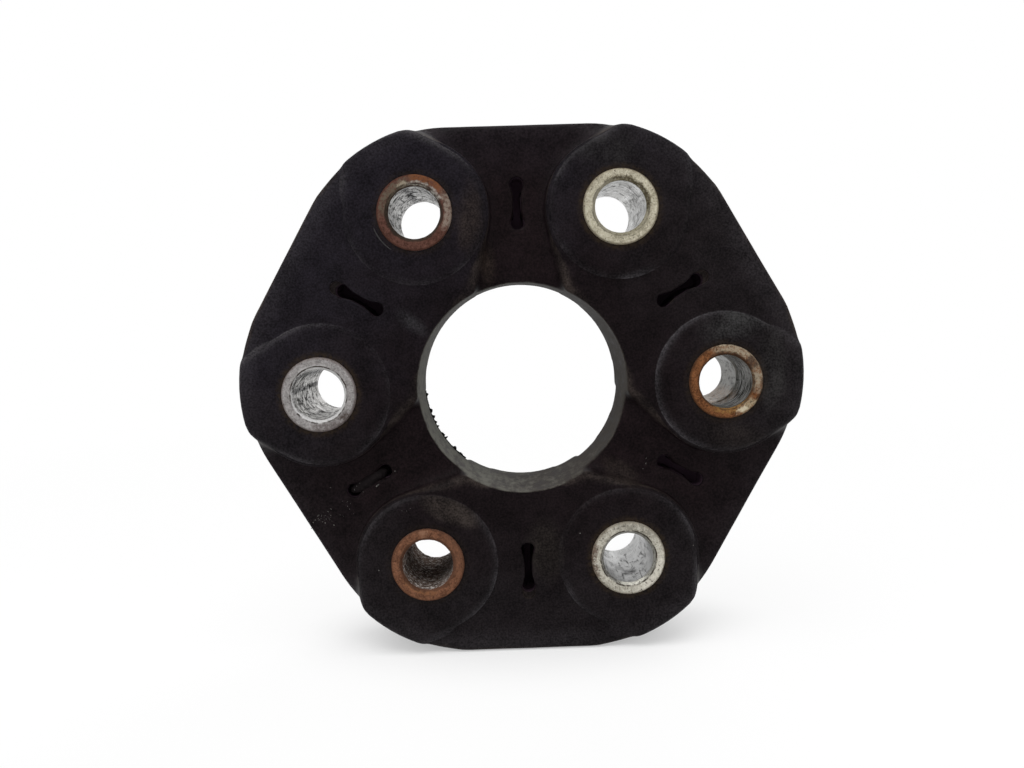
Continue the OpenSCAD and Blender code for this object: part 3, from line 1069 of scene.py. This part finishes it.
def boreFinish(p, y, dx, dz, away, torn, fleck, look):
    # turned rings, scores along the bore, blotches and specks, wrapped round its axle
    def wrapped(stretch, *noise):
        wrap = {0: dx / away, 1: y * stretch, 2: dz / away}
        return p.node("ShaderNodeCombineXYZ", None, wrap).noise(*noise, warp=0.3)

    def band(value, low, high, amount):
        return value.ease(low, high) * amount

    shade = [0.6 * c for c in look["light"]]
    colour = (0.6 * wrapped(120.0, 2.0, 4, 0.6).ease(0.3, 0.7)).mix(look["light"], shade)
    rings = band(wrapped(1900.0, 1.1, 4, 0.65), *look["rings"])
    if "ringsTo" in look:  # only the near part of this bore has them
        rings = rings * (1 - y.rise(look["ringsTo"] - 0.5, look["ringsTo"]))
    scores = band(wrapped(14.0, 10.0, 5, 0.7), *look["scores"])
    marks = rings.most(scores).most(band(wrapped(130.0, 4.0, 6, 0.72), *look["blots"]))
    low, high, amount = look["specks"]
    specks = p.noise(2300 if amount > 0 else 1200, 4, 0.68)
    if amount > 0:
        marks = marks.most(band(specks, low, high, amount))
    colour = marks.mix(colour, look["dark"])
    if amount < 0:  # pale specks on a dark bore
        colour = band(specks, low, high, -amount).mix(colour, (0.62, 0.58, 0.55))
    for patch in look["patches"]:
        depth = y + torn * (6 * mm)
        reach = depth.rise(patch["front"] - 1, patch["front"] + 1)
        if "back" in patch:
            reach = reach * (1 - depth.rise(patch["back"] - 1, patch["back"] + 1))
        colour = (patchMask(dx, dz, away, torn, fleck, patch) * reach).mix(colour, patch["colour"])
    return colour, marks


def sleeveFinish(where):
    look = sleeveLook[where]
    finish, shader, p = newFinish("sleeveSteel" + where[0].upper() + where[1:])
    x, y, z = p.axes()
    axle = discPoint(moulding["boltRadius"], sleeveTurns[where], 0)
    dx, dz = x - axle.x, z - axle.z
    away = (dx * dx + dz * dz) ** 0.5
    end = y.most(0 - y).rise(*sleeveBands["end"])  # 1 on the end faces and their chamfers, 0 in the bore
    torn = p.noise(700, 6, 0.7, warp=0.6) - 0.5
    ground = p.noise(560, 6, 0.72, warp=0.4).ease(0.36, 0.64)
    fine = p.noise(2300, 4, 0.7).ease(0.36, 0.64)
    fleck = p.noise(1300, 4, 0.68).ease(0.38, 0.56)
    ragged = away + torn * (0.5 * mm)
    face = ragged.rise(*sleeveBands["face"])
    colour = face.mix(look["chamfer"], (ground * 0.5 + fine * 0.5).mix(look["dull"], look["bright"]))
    colour = (ragged.rise(*sleeveBands["rim"]) * 0.75).mix(colour, look["edge"])
    for patch in look["patches"]:
        colour = patchMask(dx, dz, away, torn, fleck, patch).mix(colour, patch["colour"])
    # a dark line where the face turns into the mouth, and pits
    mouth = sleeveBands["mouth"] * mm
    off = (ragged - mouth).most(mouth - ragged)
    line = (1 - off.rise(*sleeveBands["mouthLine"])) * p.noise(500, 3, 0.6).ease(0.36, 0.56) * look["line"]
    pits = p.noise(1750, 3, 0.62).ease(0.58, 0.68) * look["pits"]
    pits = pits.most(line)
    colour = pits.mix(colour, (0.028, 0.020, 0.015))
    bore, marks = boreFinish(p, y, dx, dz, away, torn, fleck, look["bore"])
    colour = end.mix(bore, colour)
    metallic = (1 - end) * (1 - marks) * look["bore"]["metal"] + end * look["metal"]
    roughness = end * (0.5 + 0.25 * ground) + (1 - end) * (0.32 + 0.4 * marks)
    height = end * (torn * 0.8 + ground * 0.4 + fine * 0.2 - pits * 0.5) + (1 - end) * (0.5 - marks * 0.5)
    setSockets(
        shader,
        {"Specular IOR Level": 0.0},
        {"Base Color": colour, "Metallic": metallic, "Roughness": roughness, "Normal": height.bump(0.5, 0.14 * mm)},
    )
    return finish


def cordFinish():
    finish, shader, p = newFinish("woundCord")
    weave = {"Vector": p, "Scale": 260.0, "Distortion": 1.2, "Detail": 3.0}
    strands = p.node("ShaderNodeTexWave", {"bands_direction": "Y"}, weave)
    fibre = p.noise(1800, 4, 0.6)
    colour = (strands * 0.7 + fibre * 0.3).mix((0.16, 0.12, 0.07), (0.5, 0.43, 0.3))
    normal = (strands + fibre * 0.3).bump(0.8, 0.3 * mm)
    setSockets(shader, {}, {"Base Color": colour, "Roughness": 0.75 + 0.15 * fibre, "Normal": normal})
    return finish


def collarFinish():
    finish, shader, p = newFinish("collarSteel")
    brushed = p.stretch(900, 200, 900).noise(1, 5, 0.65)
    colour = brushed.mix((0.2, 0.2, 0.21), (0.4, 0.41, 0.42))
    normal = brushed.bump(0.3, 0.08 * mm)
    setSockets(shader, {"Metallic": 0.9}, {"Base Color": colour, "Roughness": 0.3 + 0.25 * brushed, "Normal": normal})
    return finish


wear(rubberDisc, rubberFinish())
wear(tornFlash, scrapFinish("tornRubber", (0.004, 0.0035, 0.0035), (0.012, 0.011, 0.0105), 0.15))
wear(bossLip, scrapFinish("liftedRubber", (0.016, 0.015, 0.015), (0.05, 0.047, 0.047), 0.2))
wear(slotDirt, scrapFinish("packedDirt", (0.0050, 0.0038, 0.0042), (0.0150, 0.0120, 0.0125), 0.03))
wear(grit, scrapFinish("paleGrit", (0.018, 0.017, 0.016), (0.30, 0.29, 0.27), 0.1))
for where, piece in sleeves.items():
    wear(piece, sleeveFinish(where))
cordMaterial, collarMaterial = cordFinish(), collarFinish()
for name, node in cadNodes.items():
    if name.startswith("cord"):
        wear(node, cordMaterial)
    if name.startswith("collar"):
        wear(node, collarMaterial)
print("finishes: made")

# pale floor, white surroundings, soft lamps
studio = {
    "white": (1, 1, 1, 1),
    "floorHalf": 3.0,
    "floorColour": (0.82, 0.82, 0.82, 1),
    # share of plain white that the camera sees on the floor: under the disc, beside it, and far out
    "floorWhite": (0.38, 0.88, 1.0),
    "floorNear": (0.014, 0.048),
    "floorFade": (0.12, 0.6),
    "sweep": {"behind": 1.5, "height": 2.4, "round": 0.5},
    "ambient": 0.34,
    # each lamp looks at the origin
    "lamps": table(
        "at size power",
        ((-0.12, -0.3, 0.95), 0.9, 10),
        ((-0.7, -0.75, 0.35), 0.7, 2.2),
        ((0.75, -0.65, 0.3), 0.7, 1.4),
        ((0.45, 0.8, 0.75), 0.6, 4),
    ),
}


def whiteRays(tree):
    # 1 for what the camera and clear reflections see, 0 for the light itself
    path = tree.nodes.new("ShaderNodeLightPath")
    white = Wire(tree, path.outputs["Is Camera Ray"])
    for kind in ("Is Glossy Ray", "Is Transmission Ray"):
        white = white.most(Wire(tree, path.outputs[kind]))
    return white


def blend(tree, share, first, second, output):
    # from one shader to another by a share, led to an output
    both = tree.nodes.new("ShaderNodeMixShader")
    for k, socket in enumerate((share.socket, first.outputs[0], second.outputs[0])):
        tree.links.new(socket, both.inputs[k])
    tree.links.new(both.outputs[0], tree.nodes[output].inputs["Surface"])


def makeFloor():
    bpy.ops.mesh.primitive_plane_add(size=2 * studio["floorHalf"], location=(0, 0, cadBox[0].z))
    floor = named("floor")
    settle(floor)
    sweep = studio["sweep"]
    chooseVertices(floor, lambda p: p.y > 0)
    openPiece(floor, "EDGE")  # the far edge comes nearer, rises behind the disc and is rounded below
    bpy.ops.transform.translate(value=(0, sweep["behind"] - studio["floorHalf"], 0))
    bpy.ops.mesh.extrude_region_move(TRANSFORM_OT_translate={"value": (0, 0, sweep["height"])})
    closePiece()
    shape(floor, "BEVEL", width=sweep["round"], segments=12, limit_method="ANGLE", angle_limit=math.radians(30))
    pick(floor)
    bpy.ops.object.shade_smooth()
    finish, shader, p = newFinish("paleFloor")
    setSockets(shader, {"Base Color": studio["floorColour"], "Roughness": 0.9, "Specular IOR Level": 0.1}, {})
    tree = finish.node_tree
    white = tree.nodes.new("ShaderNodeEmission")
    white.inputs["Color"].default_value = studio["white"]
    white.inputs["Strength"].default_value = 1.0
    x, y, z = p.axes()
    under, beside, out = studio["floorWhite"]
    near = ((x * x * 0.42 + y * y) ** 0.5).ease(*studio["floorNear"])
    far = ((x * x + y * y) ** 0.5).ease(*studio["floorFade"])  # the floor runs out into the white
    share = whiteRays(tree) * (under + near * (beside - under) + far * (out - beside))
    blend(tree, share, shader, white, "Material Output")
    wear(floor, finish)


def makeSurroundings():
    world = bpy.data.worlds.new("surroundings")
    bpy.context.scene.world = world
    world.use_nodes = True
    tree = world.node_tree
    soft = tree.nodes["Background"]
    soft.inputs["Color"].default_value = studio["white"]
    soft.inputs["Strength"].default_value = studio["ambient"]
    white = tree.nodes.new("ShaderNodeBackground")
    white.inputs["Color"].default_value = studio["white"]
    blend(tree, whiteRays(tree), soft, white, "World Output")


def makeLamps():
    for k, lamp in enumerate(studio["lamps"]):
        light = bpy.data.lights.new("softLamp" + str(k + 1), "AREA")
        light.energy = lamp["power"]
        light.size = lamp["size"]
        holder = placed(light.name, light)
        holder.location = lamp["at"]
        holder.rotation_euler = (-Vector(lamp["at"])).to_track_quat("-Z", "Y").to_euler()


# the photograph's viewpoint, in millimetres and degrees
viewpoint = {
    "at": (-5.77, -244.96, 18.95),
    "yaw": 0.74,
    "pitch": -4.44,
    "roll": -1.81,
    "focalPixels": 892.6,
    "imageWidth": 1024,
}


def makeCamera():
    yaw, pitch, roll = (math.radians(viewpoint[k]) for k in ("yaw", "pitch", "roll"))
    ahead = Vector((math.sin(yaw) * math.cos(pitch), math.cos(yaw) * math.cos(pitch), math.sin(pitch)))
    level = Vector((math.cos(yaw), -math.sin(yaw), 0))
    upright = level.cross(ahead)
    right = math.cos(roll) * level + math.sin(roll) * upright
    up = -math.sin(roll) * level + math.cos(roll) * upright
    lens = bpy.data.cameras.new("viewCamera")
    lens.sensor_width = 36
    lens.lens = viewpoint["focalPixels"] * lens.sensor_width / viewpoint["imageWidth"]
    lens.clip_start, lens.clip_end = 0.01, 20
    holder = placed("viewCamera", lens)
    turn = Matrix((right, up, -ahead)).transposed().to_4x4()
    holder.matrix_world = Matrix.Translation(Vector(viewpoint["at"]) * mm) @ turn
    bpy.context.scene.camera = holder


makeFloor()
makeSurroundings()
makeLamps()
makeCamera()
bpy.context.scene.view_settings.view_transform = "Standard"
print("studio: floor, lamps and camera set")
